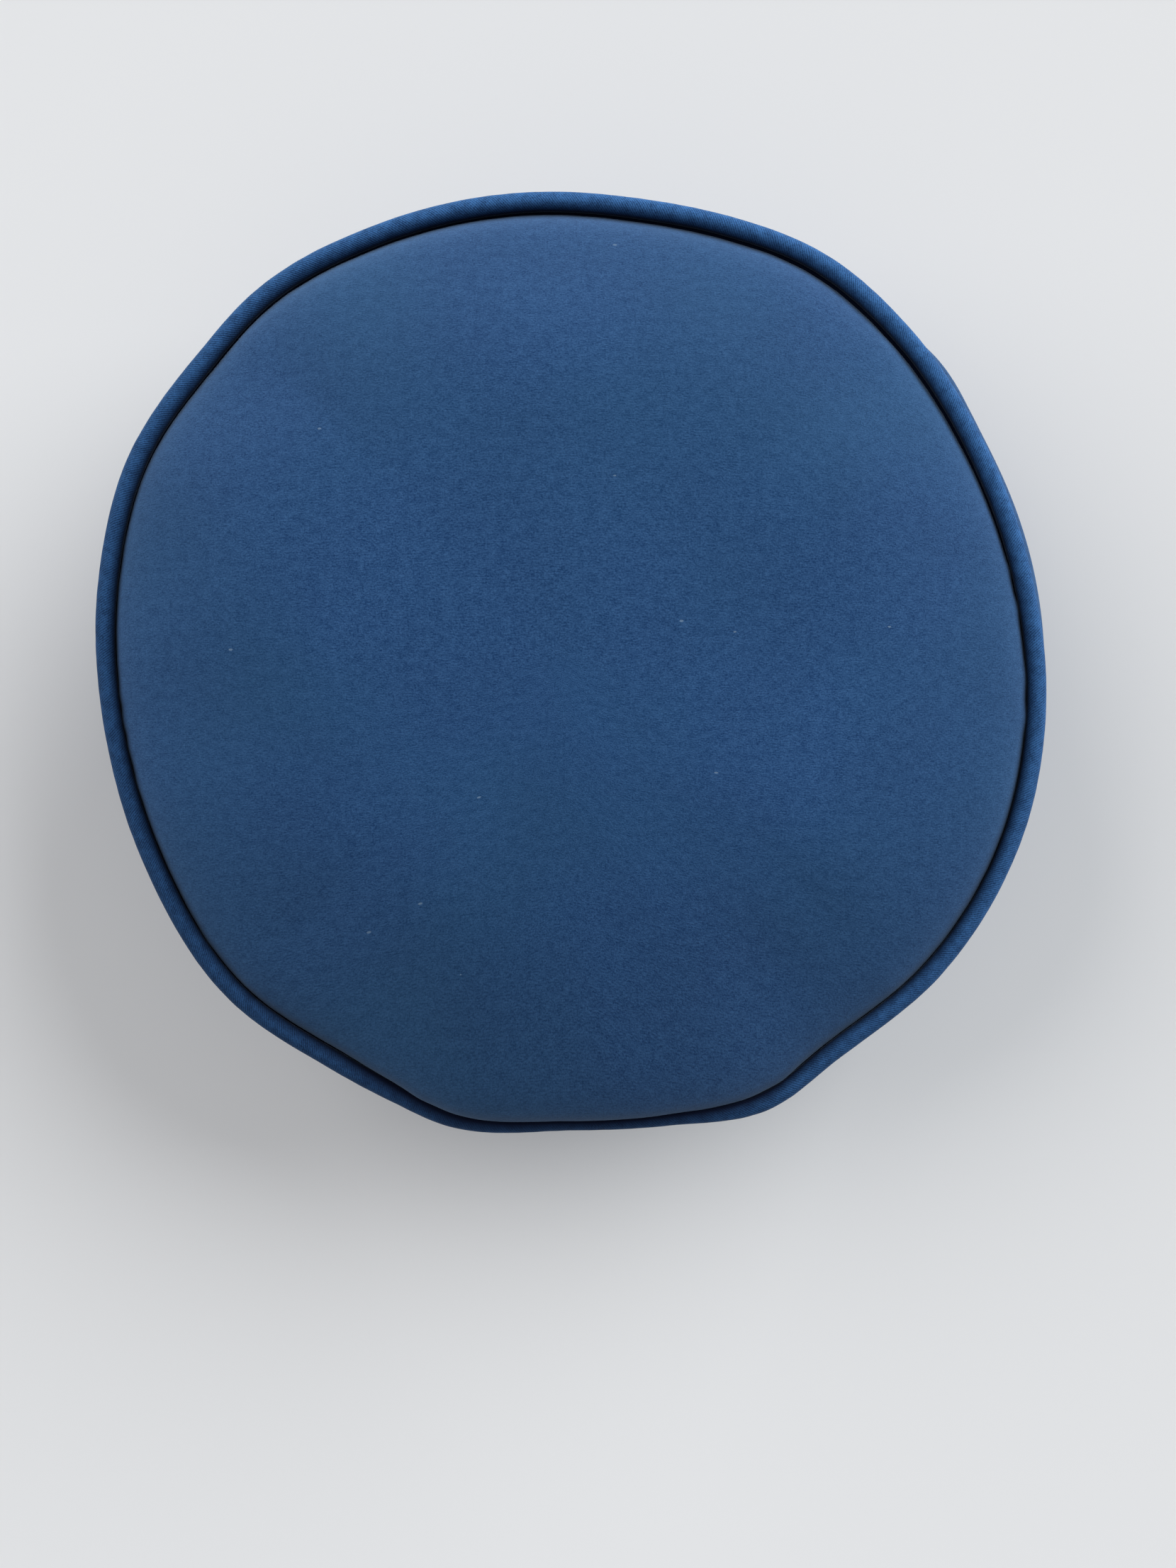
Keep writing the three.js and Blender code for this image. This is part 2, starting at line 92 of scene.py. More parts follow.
# From the cord's centre to that fold, so that the fold just touches the piping.
FOLD_ALONG = math.sqrt((PIPING + FOLD + CLOTH / 2 + 0.05 * MM) ** 2 - (SEAM_LAYER + FOLD) ** 2)
SEAM_END = 12.9 * MM  # from the cord's centre to the cloth's cut edge
PANEL_RADIUS = {1: 237 * MM, -1: 227 * MM}  # of each panel's flat disc of cloth
MOUTH = math.asin(FLANGE / PIPING)  # half of the angle where the piping's strip leaves its cord
STRIP_MIDDLE = SEAM_END - PIPING * math.cos(MOUTH) + PIPING * (math.pi - MOUTH)  # half of the strip's width
PAINTED_LIGHT_ANGLE = math.radians(58)  # the angle where painted light makes the piping's colour lightest
REST_RADIUS = 128 * MM  # the back lies flat inside this radius

ZIP_MIDDLE = -math.pi / 2  # the angle of the zip's middle
ZIP_HALF = math.radians(75)  # half of the band's stretch that holds the zip
BAND_JOIN = 1.95 * MM  # from a join in the band to where its cloth turns in
TAPE_HALF = ZIP_HALF - math.radians(1)  # half of the stretch that the tapes and hems' stitches take
HEM_EDGE = (strip_low.z - lower_strip_high.z) / 2  # from the zip's middle to a hem's edge
HEM_TURN = 0.75 * MM
HEM_DEPTH = 11 * MM
HEM_STITCHES = 6 * MM  # from a hem's edge to its stitches
TAPE_NEAR = 0.6 * MM  # from the zip's middle to a tape's near edge
TAPE = -tape_low.y  # radius of the tape's outer face
COIL = -coil_low.y  # radius of the coil's outer face
COIL_HALF = math.radians(64)
COIL_DEPTH = 2.1 * MM
COIL_WIDTH = 3.1 * MM
COIL_PITCH = 1.35 * MM

INSERT_CORNER = 206.5 * MM  # radius of the insert's seams
INSERT_SIDE = 214.5 * MM  # radius towards which its side swells
INSERT_SEAM = {1: CORD_Z[1] - 3 * MM, -1: CORD_Z[-1] + 3 * MM}  # heights of its seams
INSERT_FACE = {1: TOP - 5 * MM, -1: CLOTH + 1.2 * MM}  # heights of the middles of its front and back
CASING = 0.6 * MM

# How far the seams stand out from a true circle, in mm, at angles in degrees.
FRONT_OUTLINE = [
    (10, -3.6), (29, -4.1), (44, -0.8), (59, 1.6), (70, -1.6), (80, -3.7), (96, -2.1), (115, 0.9),
    (130, 4.2), (140, 2.4), (155, 4.2), (170, 0.5), (190, -3.2), (205, -2.6), (225, 0.9), (240, -2.8),
    (248, -1.6), (255, 1.0), (270, -4.0), (282, -1.2), (294, 6.2), (304, 1.2), (320, 3.8), (340, 3.4),
    (352, 0.8),
]
BACK_OUTLINE = [
    (20, -1.5), (75, 1.8), (130, -0.8), (170, 2.2), (220, -1.2), (265, 0.8), (310, -1.6), (345, 1.2),
]
# How far the seams rise and fall on their way round, in mm.
FRONT_HEAVE = [(35, 0.9), (95, -1.1), (150, 0.6), (195, -0.8), (250, 0.9), (285, -1.0), (330, 0.7)]
BACK_HEAVE = [(15, -0.8), (80, 0.9), (145, -0.6), (210, 1.0), (275, -0.7), (335, 0.8)]
# How steeply the seams dip into the cushion, in degrees. On the -Y side the front panel bulges over its
# piping, and the front seam rises into the cushion instead.
FRONT_TILT = [(10, 53), (110, 48), (190, 53), (236, 44), (258, -20), (283, -22), (300, 40), (325, 50)]
BACK_TILT = [(0, 45), (120, 41), (240, 47)]
# How steeply the front panel leaves its seam, in degrees.
FRONT_SLOPE = [(10, 76), (50, 70), (110, 70), (190, 76), (260, 84), (281, 84), (330, 76)]
# How far out the crown's curve is drawn level, as a share of the piping's radius.
FRONT_FLAT = [(0, 0.70), (60, 0.78), (120, 0.78), (180, 0.72), (265, 0.40), (320, 0.58)]
# How much further in than the band's fold the front panel's fold lies, in mm, which leaves a groove.
FRONT_GROOVE = [(0, 0.2), (45, 1.7), (90, 1.1), (135, 0.7), (180, 0.2), (225, 0.5), (315, 0.2)]
BACK_GROOVE = 0.9
BACK_SLOPE = 34
# Where a thread pulls the front panel out over its seam: the angle, how far in mm and how wide in degrees.
PUCKERS = [
    (353, 1.7, 0.9), (358, 0.9, 1.2), (7, 0.9, 1.0), (12, 0.7, 0.8), (184, 0.8, 0.8), (187.5, 1.2, 0.9),
    (191, 0.8, 0.7), (196, 0.7, 1.1), (217, 0.7, 1.0), (297, 1.0, 1.5), (251, 0.9, 1.4), (64, 0.4, 1.2),
]
# How far the band's middle stands outside the seams' true circle, away from the zip, in mm.
BAND_SWELL = [(36, 8.8), (75, 3.5), (130, 4.0), (180, 3.0)]
BAND_HALF = 39 * MM  # half of the band's height, from its middle to a seam
BAND_UPRIGHT = 17 * MM  # how far from its middle the band stands straight up
# A lump of filling pushes the band out under the front piping: its angle and width, in degrees, and its
# height above the floor, its size up and down and how far it stands out.
BULGE_ANGLE, BULGE_SPREAD = 39, 8
BULGE_Z, BULGE_TALL, BULGE_OUT = 83 * MM, 8 * MM, 6 * MM


def around(points, theta):
    """The value at each angle, on a smooth curve through the points given round the circle."""
    degrees = np.degrees(theta) % 360
    angles, values = np.array(points, float).T
    angles = np.concatenate([angles - 360, angles, angles + 360])
    values = np.tile(values, 3)
    rate = np.gradient(values, angles)
    i = np.clip(np.searchsorted(angles, degrees, side="right") - 1, 0, len(angles) - 2)
    gap = angles[i + 1] - angles[i]
    t = (degrees - angles[i]) / gap
    blend = t * t * (3 - 2 * t)
    bend = rate[i] * t * (1 - t) ** 2 - rate[i + 1] * t * t * (1 - t)
    return values[i] * (1 - blend) + values[i + 1] * blend + bend * gap


def smooth(low, high, x):
    """0 below low, 1 above high, and an easy step between."""
    t = np.clip((x - low) / (high - low), 0, 1)
    return t * t * (3 - 2 * t)


def ripple(theta, waves, seed):
    """A few waves of about this many to the turn, between -1 and 1, with the start as the end."""
    rng = np.random.default_rng(seed)
    total = 0
    for count in range(waves // 2, waves * 3 // 2, max(1, waves // 7)):
        total = total + rng.uniform(0.4, 1) * np.cos(count * theta + rng.uniform(0, TURN))
    return total / 4


def seam_radius(side, theta):
    return RING + around(FRONT_OUTLINE if side > 0 else BACK_OUTLINE, theta) * MM


def seam_height(side, theta):
    return CORD_Z[side] + around(FRONT_HEAVE if side > 0 else BACK_HEAVE, theta) * MM


def seam_tilt(side, theta):
    return np.radians(around(FRONT_TILT if side > 0 else BACK_TILT, theta))


def seam(side, theta, along, to_panel):
    """(radius, height) of a place this far along into a seam from the cord's centre, and across it."""
    tilt = seam_tilt(side, theta)
    radius = seam_radius(side, theta) - along * np.cos(tilt) - to_panel * np.sin(tilt)
    height = seam_height(side, theta) + side * (to_panel * np.cos(tilt) - along * np.sin(tilt))
    return radius, height


def bezier(a, b, c, d, t):
    return (1 - t) ** 3 * a + 3 * (1 - t) ** 2 * t * b + 3 * (1 - t) * t**2 * c + t**3 * d


def place(theta, radius, height):
    """Points from angles, radii and heights."""
    theta, radius, height = np.broadcast_arrays(theta, radius, height)
    return np.stack([radius * np.cos(theta), radius * np.sin(theta), height], -1)


# ---- meshes


def grid_quads(rows, columns, wrap=False):
    """The quads of a grid whose points go row by row. With wrap, its last column joins its first."""
    i, j = np.meshgrid(np.arange(rows - 1), np.arange(columns - (not wrap)), indexing="ij")
    k = (j + 1) % columns
    quads = [i * columns + j, i * columns + k, (i + 1) * columns + k, (i + 1) * columns + j]
    return np.stack(quads, -1).reshape(-1, 4)


def disc_grid(count):
    """A round grid of count x count even cells: each point's radius from 0 to 1 and angle, the quads, and
    the rim's points in order of angle."""
    line = np.linspace(-1, 1, count + 1)
    a, b = np.meshgrid(line, line)
    wide = abs(a) > abs(b)
    reach = np.where(wide, a, b)
    over = np.where(reach == 0, 1, reach)
    turn = np.where(wide, math.pi / 4 * b / over, math.pi / 2 - math.pi / 4 * a / over)
    x, y = reach * np.cos(turn), reach * np.sin(turn)
    radius, theta = np.hypot(x, y).ravel(), np.arctan2(y, x).ravel() % TURN
    rim = np.flatnonzero(np.maximum(abs(a), abs(b)).ravel() == 1)
    rim = rim[np.argsort(theta[rim])]
    return radius, theta, grid_quads(count + 1, count + 1), rim


def make_mesh(name, points, faces, flat=None, lap=0.0):
    """A mesh object. flat is each point's place on the cloth before sewing, in metres, for its weave, and
    lap is the length at which that starts again round the cushion."""
    mesh = bpy.data.meshes.new(name)
    mesh.from_pydata(points.reshape(-1, 3).tolist(), [], [list(map(int, f)) for f in faces])
    if flat is not None:
        corners = np.empty(len(mesh.loops), np.int32)
        mesh.loops.foreach_get("vertex_index", corners)
        uv = flat.reshape(-1, 2)[corners]
        if lap:
            starts = np.repeat([p.loop_start for p in mesh.polygons], [p.loop_total for p in mesh.polygons])
            behind = uv[starts, 0] - uv[:, 0]
            uv[:, 0] += lap * np.round(behind / lap)
        layer = mesh.uv_layers.new(name="Cloth")
        layer.data.foreach_set("uv", uv.astype(np.float32).ravel())
    mesh.shade_smooth()
    piece = bpy.data.objects.new(name, mesh)
    bpy.context.scene.collection.objects.link(piece)
    return piece


def facing_out(piece):
    """Turns a closed piece's faces outwards."""
    edit = bmesh.new()
    edit.from_mesh(piece.data)
    bmesh.ops.recalc_face_normals(edit, faces=edit.faces)
    edit.to_mesh(piece.data)
    edit.free()


def thicken(piece, thickness, levels=1):
    """Smooths a sheet of cloth and gives it its thickness, half to each side."""
    if levels:
        piece.modifiers.new("Smooth", "SUBSURF").levels = levels
        piece.modifiers["Smooth"].render_levels = levels
    body = piece.modifiers.new("Thickness", "SOLIDIFY")
    body.thickness, body.offset = thickness, 0
    body.use_even_offset = True


def dress(piece, material, node, body="cushion"):
    """Gives a piece its material, and puts it in a CAD node's place."""
    piece.data.materials.clear()
    piece.data.materials.append(material)
    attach(piece, body)
    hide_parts(node)
    return piece


# ---- cloth simulation

CLOTH_STEPS = 20
CLOTH_SETTINGS = dict(
    quality=5, mass=0.25, tension_stiffness=20, compression_stiffness=1, shear_stiffness=2,
    bending_stiffness=4, tension_damping=15, compression_damping=15, air_damping=4,
    use_pressure=True, uniform_pressure_force=4, vertex_group_mass="held",
)


def calm(move, quads, held, times):
    """Evens out a sheet's movement with its neighbours', so that the filled cloth keeps few wrinkles."""
    edges = np.concatenate([quads[:, [i, (i + 1) % 4]] for i in range(4)])
    edges = np.unique(np.sort(edges, axis=1), axis=0)
    a, b = edges.T
    degree = np.bincount(edges.ravel(), minlength=len(move))[:, None]
    free = (held == 0)[:, None]
    for _ in range(times):
        total = np.zeros_like(move)
        for i in range(3):
            total[:, i] = np.bincount(a, move[b, i], len(move)) + np.bincount(b, move[a, i], len(move))
        move = np.where(free, (move + total / degree) / 2, move)
    return move


def simulate(sheets):
    """Blows the sheets out under the pressure of the filling. In each sheet held is 1 at each point that a
    seam holds, cap is how far any point may move, and calm is how often the movement is evened out. Returns
    the new points."""
    counts = [len(s["points"]) for s in sheets]
    starts = np.cumsum([0] + counts[:-1])
    points = np.concatenate([s["points"] for s in sheets])
    quads = np.concatenate([s["quads"] + start for s, start in zip(sheets, starts)])
    held = np.concatenate([s["held"] for s in sheets])
    cloth = make_mesh("cloth", points, quads)
    group = cloth.vertex_groups.new(name="held")
    for weight in np.unique(held):
        if weight > 0:
            group.add(np.flatnonzero(held == weight).tolist(), float(weight), "REPLACE")
    cloth.modifiers.new("Cloth", "CLOTH")
    settings = cloth.modifiers["Cloth"].settings
    for key, value in CLOTH_SETTINGS.items():
        setattr(settings, key, value)
    settings.effector_weights.gravity = 0
    for step in range(1, CLOTH_STEPS + 1):
        bpy.context.scene.frame_set(step)
    evaluated = cloth.evaluated_get(bpy.context.evaluated_depsgraph_get())
    moved = np.empty(len(points) * 3, np.float32)
    evaluated.data.vertices.foreach_get("co", moved)
    bpy.context.scene.frame_set(1)
    mesh = cloth.data
    bpy.data.objects.remove(cloth)
    bpy.data.meshes.remove(mesh)
    move = moved.reshape(-1, 3).astype(float) - points
    cap = np.concatenate([np.full(len(s["points"]), s["cap"]) for s in sheets])
    length = np.linalg.norm(move, axis=1)
    move *= (cap * np.tanh(length / cap) / np.maximum(length, 1e-9))[:, None]
    moves = [
        calm(m, s["quads"], s["held"], s["calm"]) for m, s in zip(np.split(move, starts[1:]), sheets)
    ]
    farthest = [round(float(np.linalg.norm(m, axis=1).max() / MM), 1) for m in moves]
    print("cloth moved, mm, by sheet:", farthest)
    return [s["points"] + m for s, m in zip(sheets, moves)]


def lumps(points, size, seed):
    """Uneven filling: slow noise between about -1 and 1 at each point."""
    shift = Vector((seed * 7.3, seed * 3.1, seed * 1.7))
    return np.array([noise.noise(Vector(p) / size + shift) for p in points]) * 1.6


# ---- the cover's sheets


def even_steps(profile, share):
    """The curve's parameter at each share of its length."""
    t = np.linspace(0, 1, 400)
    r, z = profile(t)
    length = np.concatenate([[0], np.cumsum(np.hypot(np.diff(r), np.diff(z)))])
    return np.interp(share, length / length[-1], t)


def pucker(theta):
    """How far out the front panel's edge is pulled, in mm, with its fine unevenness."""
    total = 0.10 * ripple(theta, 150, 11) + 0.16 * ripple(theta, 64, 12)
    for angle, height, width in PUCKERS:
        off = (np.degrees(theta) - angle + 180) % 360 - 180
        total = total + height * np.exp(-((off / width) ** 2))
    return total


def groove(side, theta):
    """How much further in than the band's fold a panel's fold lies, beside the piping."""
    return (around(FRONT_GROOVE, theta) if side > 0 else BACK_GROOVE) * MM


def fold_start(side, theta, slope):
    """Where a panel turns into its seam, as (radius, height), for a panel that meets it at this slope."""
    r, z = seam(side, theta, FOLD_ALONG + groove(side, theta), SEAM_LAYER + FOLD)
    return r + FOLD * np.sin(slope), z + side * FOLD * np.cos(slope)


def panel_profile(side, theta, t):
    """(radius, height) of a panel from its middle, at t = 0, to its seam, at t = 1."""
    if side > 0:
        slope = np.radians(around(FRONT_SLOPE, theta))
        r, z = fold_start(1, theta, slope)
        reach = 25 * MM
        handle = r - reach * np.cos(slope), z + reach * np.sin(slope)
        pull = pucker(theta) * MM * smooth(0.86, 0.99, t)
        radius = bezier(0, around(FRONT_FLAT, theta) * RING, handle[0], r, t)
        return radius + pull, bezier(TOP, TOP, handle[1], z, t)
    slope = math.radians(BACK_SLOPE)
    r, z = fold_start(-1, theta, slope)
    reach = 22 * MM
    handle = r - reach * math.cos(slope), z - reach * math.sin(slope)
    flat = CLOTH / 2
    share = REST_RADIUS / r
    u = np.clip((t - share) / (1 - share), 0, 1)
    radius = np.where(t < share, t * r, bezier(REST_RADIUS, REST_RADIUS + 36 * MM, handle[0], r, u))
    return radius, np.where(t < share, flat, bezier(flat, flat, handle[1], z, u))


def panel_sheet(side, count):
    radius, theta, quads, rim = disc_grid(count)
    t = even_steps(lambda x: panel_profile(side, 0.0, x), radius)
    points = place(theta, *panel_profile(side, theta, t))
    held = np.zeros(len(points))
    held[rim] = 1
    if side < 0:
        quads = quads[:, ::-1]
    reach = PANEL_RADIUS[side] * radius
    flat = np.stack([reach * np.cos(theta), reach * np.sin(theta)], -1)
    return {
        "points": points, "quads": quads, "held": held, "cap": 7 * MM, "calm": 60,
        "rim": rim, "theta": theta, "flat": flat,
    }


def panel_seam_rows(side, theta):
    """Rows of points round the rim, from a panel's fold down into its seam."""
    slope = np.radians(around(FRONT_SLOPE, theta)) if side > 0 else math.radians(BACK_SLOPE)
    r, z = seam(side, theta, FOLD_ALONG + groove(side, theta), SEAM_LAYER + FOLD)
    start = math.pi / 2 - slope
    if side > 0:
        r = r + 0.4 * pucker(theta) * MM
    end = seam_tilt(side, theta) - math.pi / 2
    rows = []
    for share in (0.3, 0.6, 1.0):
        angle = start + (end - start) * share
        rows.append(place(theta, r + FOLD * np.cos(angle), z + side * FOLD * np.sin(angle)))
    for along in (FOLD_ALONG + groove(side, theta) + 2.5 * MM, SEAM_END):
        rows.append(place(theta, *seam(side, theta, along, SEAM_LAYER)))
    return rows


def band_edge(side, theta):
    """Where the band leaves a seam, as (radius, height)."""
    r, z = seam(side, theta, FOLD_ALONG, -SEAM_LAYER - FOLD)
    return r + FOLD, z


def near_zip(theta):
    """1 where the band holds the zip and 0 well away from it."""
    off = abs((theta - ZIP_MIDDLE + math.pi) % TURN - math.pi)
    return 1 - smooth(ZIP_HALF, ZIP_HALF + math.radians(12), off)


def band_half(side, theta, t):
    """(radius, height) of the band from its middle, at t = 0, to a seam, at t = 1."""
    r, z = band_edge(side, theta)
    swell = RING + around(BAND_SWELL, theta) * MM
    middle = swell + (BAND - swell) * near_zip(theta)
    upright = MIDDLE_Z + side * BAND_UPRIGHT
    share = BAND_UPRIGHT / BAND_HALF
    u = np.clip((t - share) / (1 - share), 0, 1)
    radius = bezier(middle, middle, r, r, u)
    height = bezier(upright, upright + side * 8 * MM, z - side * 5 * MM, z, u)
    radius = np.where(t < share, middle, radius)
    height = np.where(t < share, MIDDLE_Z + side * t * BAND_HALF, height)
    if side > 0:
        off = (np.degrees(theta) % 360 - BULGE_ANGLE) / BULGE_SPREAD
        rise = (height - BULGE_Z) / BULGE_TALL
        radius = radius + BULGE_OUT * np.exp(-(off**2) - rise**2)
    return radius, height


def band_sheet(start, end, low, high, columns, rows):
    """Part of the band, between two angles and between two heights from -1 at the back seam to 1."""
    theta, share = np.meshgrid(np.linspace(start, end, columns), np.linspace(low, high, rows))
    upper = band_half(1, theta, np.clip(share, 0, 1))
    lower = band_half(-1, theta, np.clip(-share, 0, 1))
    r, z = np.where(share >= 0, upper, lower)
    held = np.zeros(theta.shape)
    held[[0, -1]] = 1
    held[:, [0, -1]] = 1
    quads = grid_quads(rows, columns)
    return {
        "points": place(theta, r, z).reshape(-1, 3), "quads": quads, "held": held.ravel(),
        "cap": 5 * MM, "calm": 2, "shape": (rows, columns), "theta": theta[0],
    }


def band_seam_rows(side, theta):
    """Rows of points along the band's edge, from the fold's outside into its seam, the innermost last."""
    r, z = seam(side, theta, FOLD_ALONG, -SEAM_LAYER - FOLD)
    end = math.pi / 2 + seam_tilt(side, theta)
    rows = []
    for share in (0.33, 0.66, 1.0):
        angle = end * share
        rows.append(place(theta, r + FOLD * np.cos(angle), z + side * FOLD * np.sin(angle)))
    for along in (FOLD_ALONG + 2.5 * MM, SEAM_END):
        rows.append(place(theta, *seam(side, theta, along, -SEAM_LAYER)))
    return rows


def hem_rows(side, theta):
    """Rows of points from the band's face round a hem's edge and back up behind it."""
    edge = MIDDLE_Z + side * (HEM_EDGE + CLOTH / 2 + HEM_TURN)
    rows = []
    for angle in np.radians([0, 60, 120, 180]):
        r, z = BAND - HEM_TURN + HEM_TURN * np.cos(angle), edge - side * HEM_TURN * np.sin(angle)
        rows.append(place(theta, r, z))
    for depth in (0.35, 0.7, 1.0):
        rows.append(place(theta, BAND - 2 * HEM_TURN, edge + side * HEM_DEPTH * depth))
    return rows


def with_tucked_ends(grid):
    """A grid of cloth with its first and last columns turned inwards, where it is sewn to its neighbour. In
    the seams above and below, the cloth lies flat up to the join instead."""
    turn = [(0.5, 0.12), (0.95, 0.5), (1.2, 1.2), (1.24, 2.6), (1.26, 4.2)]  # mm ahead and mm inwards
    reach = BAND_JOIN - 0.05 * MM

    def tuck(edge, direction):
        theta, radius = np.arctan2(edge[:, 1], edge[:, 0]), np.hypot(edge[:, 0], edge[:, 1])
        height = edge[:, 2]
        clear = np.minimum(height - CORD_Z[-1], CORD_Z[1] - height) - 7.5 * MM
        share = smooth(0, 5 * MM, clear)
        columns = []
        for i, (ahead, depth) in enumerate(turn):
            flat = reach * (i + 1) / len(turn)
            along = share * ahead * MM + (1 - share) * flat
            columns.append(place(theta + direction * along / BAND, radius - share * depth * MM, height))
        return columns

    columns = [grid[:, i] for i in range(grid.shape[1])]
    return np.stack(tuck(columns[0], -1)[::-1] + columns + tuck(columns[-1], 1), 1)


# ---- materials


class Shader:
    """A node material being built, from the cloth's flat coordinates or the object's own."""

    def __init__(self, name, roughness=0.9, metallic=0.0, specular=0.3):
        self.material = bpy.data.materials.new(name)
        self.material.use_nodes = True
        self.tree = self.material.node_tree
        self.surface = self.tree.nodes["Principled BSDF"]
        self.surface.inputs["Roughness"].default_value = roughness
        self.surface.inputs["Metallic"].default_value = metallic
        self.surface.inputs["Specular IOR Level"].default_value = specular

    def node(self, kind, inputs=None, **values):
        """A new node with these values, and with these of its inputs fed."""
        made = self.tree.nodes.new("ShaderNode" + kind)
        for key, value in values.items():
            setattr(made, key, value)
        for key, value in (inputs or {}).items():
            self.feed(made.inputs[key], value)
        return made

    def feed(self, socket, value):
        if isinstance(value, bpy.types.NodeSocket):
            self.tree.links.new(value, socket)
        else:
            socket.default_value = value

    def flat(self, stretch=(1, 1), shift=0.0):
        """The cloth's flat coordinates, in metres, stretched."""
        source = self.node("UVMap", uv_map="Cloth").outputs[0]
        return self.scaled(source, (*stretch, 1), shift)

    def solid(self, stretch=(1, 1, 1)):
        """The object's own coordinates, in metres, stretched."""
        return self.scaled(self.node("TexCoord").outputs["Object"], stretch, 0.0)

    def scaled(self, source, stretch, shift):
        inputs = {"Vector": source, "Scale": stretch, "Location": (shift, shift, shift)}
        return self.node("Mapping", inputs).outputs[0]

    def parts(self, source):
        """A vector's x, y and z."""
        return self.node("SeparateXYZ", {0: source}).outputs

    def noise(self, where, scale, detail=2.0, roughness=0.5):
        inputs = {"Vector": where, "Scale": scale, "Detail": detail, "Roughness": roughness}
        return self.node("TexNoise", inputs).outputs["Fac"]

    def wave(self, where, scale, direction="X", distortion=0.0):
        inputs = {"Vector": where, "Scale": scale, "Distortion": distortion, "Detail": 1}
        return self.node("TexWave", inputs, bands_direction=direction, wave_profile="SIN").outputs["Fac"]

    def cells(self, where, scale, output="Distance"):
        return self.node("TexVoronoi", {"Vector": where, "Scale": scale}).outputs[output]

    def maths(self, operation, a, b=0.0, c=0.0):
        return self.node("Math", {0: a, 1: b, 2: c}, operation=operation).outputs[0]

    def spread(self, value, low, high):
        """The value taken from low..high to 0..1."""
        return self.node("MapRange", {0: value, 1: low, 2: high, 3: 0.0, 4: 1.0}).outputs[0]

    def mix(self, share, a, b, blend="MIX"):
        """Two colours mixed. 6 and 7 are the Mix node's colour inputs, and 2 is its colour output."""
        a, b = (c if isinstance(c, bpy.types.NodeSocket) else (*c, 1) for c in (a, b))
        inputs = {0: share, 6: a, 7: b}
        return self.node("Mix", inputs, data_type="RGBA", blend_type=blend).outputs[2]

    def sheen(self, weight, roughness, tint):
        self.surface.inputs["Sheen Weight"].default_value = weight
        self.surface.inputs["Sheen Roughness"].default_value = roughness
        self.surface.inputs["Sheen Tint"].default_value = (*tint, 1)

    def finish(self, colour, height=None, depth=0.2 * MM, strength=0.5):
        self.feed(self.surface.inputs["Base Color"], colour)
        if height is not None:
            bump = self.node("Bump", {"Strength": strength, "Distance": depth, "Height": height})
            self.feed(self.surface.inputs["Normal"], bump.outputs[0])
        return self.material


def velvet_material(name, rim=None):
    """Short-pile velvet: a fine grain, short streaks along the weft, slow changes of nap and a few bits of
    lint. On a round panel, whose cloth has the radius rim, its colour has painted shade: darker towards -Y,
    and nearly black beside the seam."""
    s = Shader(name, roughness=0.9, specular=0.1)
    grain = s.spread(s.noise(s.flat(), 1250, 2, 0.6), 0.3, 0.7)
    streak = s.spread(s.noise(s.flat((480, 1500)), 1.0, 2, 0.6), 0.3, 0.7)
    mottle = s.spread(s.noise(s.flat((1, 1.5)), 160, 3, 0.6), 0.3, 0.7)
    nap = s.spread(s.noise(s.flat(), 11, 2, 0.5), 0.3, 0.72)
    hue = s.spread(s.noise(s.flat(shift=3.7), 7.0, 1, 0.5), 0.42, 0.7)
    tone = s.maths("MULTIPLY_ADD", grain, 0.44, s.maths("MULTIPLY", streak, 0.36))
    tone = s.maths("MULTIPLY_ADD", mottle, 0.2, tone)
    colour = s.mix(s.spread(tone, 0.24, 0.76), (0.0028, 0.0260, 0.0900), (0.0256, 0.0785, 0.1880))
    colour = s.mix(1.0, colour, s.mix(nap, (0.93, 0.93, 0.94), (1.10, 1.09, 1.08)), "MULTIPLY")
    colour = s.mix(s.maths("MULTIPLY", hue, 0.22), colour, (0.014, 0.068, 0.125))
    spots = s.flat((0.5, 1.0))
    chosen = s.node("SeparateColor", {0: s.cells(spots, 75, "Color")})
    rare = s.maths("GREATER_THAN", chosen.outputs[0], 0.66)
    lint = s.maths("MULTIPLY", s.maths("LESS_THAN", s.cells(spots, 75), 0.04), rare)
    colour = s.mix(s.maths("MULTIPLY", lint, 0.45), colour, (0.19, 0.27, 0.36))
    if rim:
        # Painted shade: the panel's colour is up to about a fifth darker towards -Y, the side away from the
        # lights.
        brush_marks_and_painted_shade = s.spread(s.parts(s.flat())[1], -0.8 * rim, -0.25 * rim)
        colour = s.mix(1.0, colour, s.mix(brush_marks_and_painted_shade, (0.78, 0.79, 0.79), (1.0, 1.0, 1.0)), "MULTIPLY")
        # Painted shade: the colour goes nearly black over the last 9 mm of the panel's cloth, beside the
        # seam.
        out = s.node("VectorMath", {0: s.flat()}, operation="LENGTH")
        painted_seam_shade = s.spread(out.outputs["Value"], rim - 9 * MM, rim)
        colour = s.mix(s.maths("MULTIPLY", painted_seam_shade, 0.85), colour, (0.002, 0.007, 0.028))
    height = s.maths("MULTIPLY_ADD", grain, 0.5, s.maths("MULTIPLY", streak, 0.5))
    s.sheen(0.24, 0.5, (0.46, 0.68, 1.0))
    return s.finish(colour, height, 0.25 * MM, 0.4)


